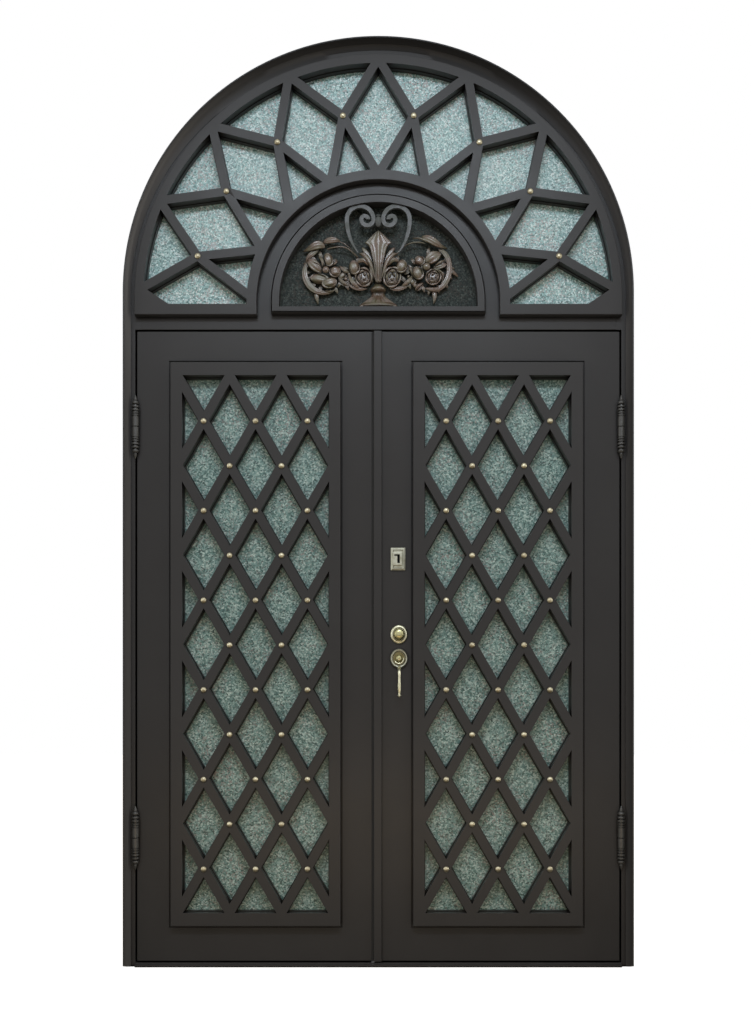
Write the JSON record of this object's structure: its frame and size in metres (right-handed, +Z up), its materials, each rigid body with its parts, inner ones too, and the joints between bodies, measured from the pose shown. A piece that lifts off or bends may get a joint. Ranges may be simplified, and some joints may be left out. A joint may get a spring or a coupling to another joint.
{
  "type": "arched double-leaf steel entrance door with fan light",
  "caption": "Arched steel entrance door in its frame: two hinged leaves with diamond lattice over textured glass, a fan light and a lunette with a vase of flowers.",
  "frame": {"origin": "middle of the sill's underside, on the floor, midway through the frame's box section", "axes": "+X to the right as seen from outside, +Y to the inside of the building, +Z up; the outside face looks to -Y"},
  "size_m": [1.68, 0.173, 3.069],
  "materials": {
    "steel": "satin graphite-brown paint",
    "seal": "matte",
    "glass": "textured obscure glass",
    "dark_glass": "dark textured obscure glass",
    "stud": "aged satin",
    "bronze": "antique bronze paint on a casting",
    "scroll_steel": "satin slate grey",
    "lock_brass": "satin",
    "spindle": "plain"
  },
  "bodies": {
    "frame": {"left_jamb": "steel", "right_jamb": "steel", "arch_left": "steel", "arch_right": "steel", "sill": "steel", "transom_bar": "steel", "door_seal": "seal", "fan_frame_left": "steel", "fan_frame_right": "steel", "fan_lattice_left": "steel", "fan_lattice_right": "steel", "fan_glass": "glass", "fan_studs": "stud", "lunette_ring": "steel", "lunette_arch": "steel", "lunette_rail": "steel", "lunette_glass": "dark_glass", "vase": "bronze", "scrolls": "scroll_steel", "bouquet_left": "bronze", "bouquet_right": "bronze", "left_hinge_posts": "steel", "right_hinge_posts": "steel"},
    "left_leaf": {"left_leaf_slab": "steel", "left_front_trim": "steel", "left_back_trim": "steel", "left_lattice": "steel", "left_glass": "glass", "left_studs": "stud", "left_hinge_barrels": "steel", "meeting_seal": "seal"},
    "right_leaf": {"right_leaf_slab": "steel", "right_front_trim": "steel", "right_back_trim": "steel", "right_lattice": "steel", "right_glass": "glass", "right_studs": "stud", "right_hinge_barrels": "steel", "cover_strip": "steel", "key_plate": "lock_brass", "cylinder_rose": "lock_brass", "lever_rose": "lock_brass"},
    "lever": {"lever_outer": "lock_brass", "lever_inner": "lock_brass", "lever_spindle": "spindle"}
  },
  "joints": [
    {"name": "left_leaf_hinge", "type": "hinge", "parent": "frame", "child": "left_leaf", "pos_m": [-0.806, -0.072, 0], "axis": [0, 0, -1], "range_deg": [0, 110]},
    {"name": "right_leaf_hinge", "type": "hinge", "parent": "frame", "child": "right_leaf", "pos_m": [0.806, -0.072, 0], "axis": [0, 0, 1], "range_deg": [0, 110]},
    {"name": "lever_turn", "type": "hinge", "parent": "right_leaf", "child": "lever", "pos_m": [0.069, 0, 1.025], "axis": [0, -1, 0], "range_deg": [0, 90]}
  ]
}
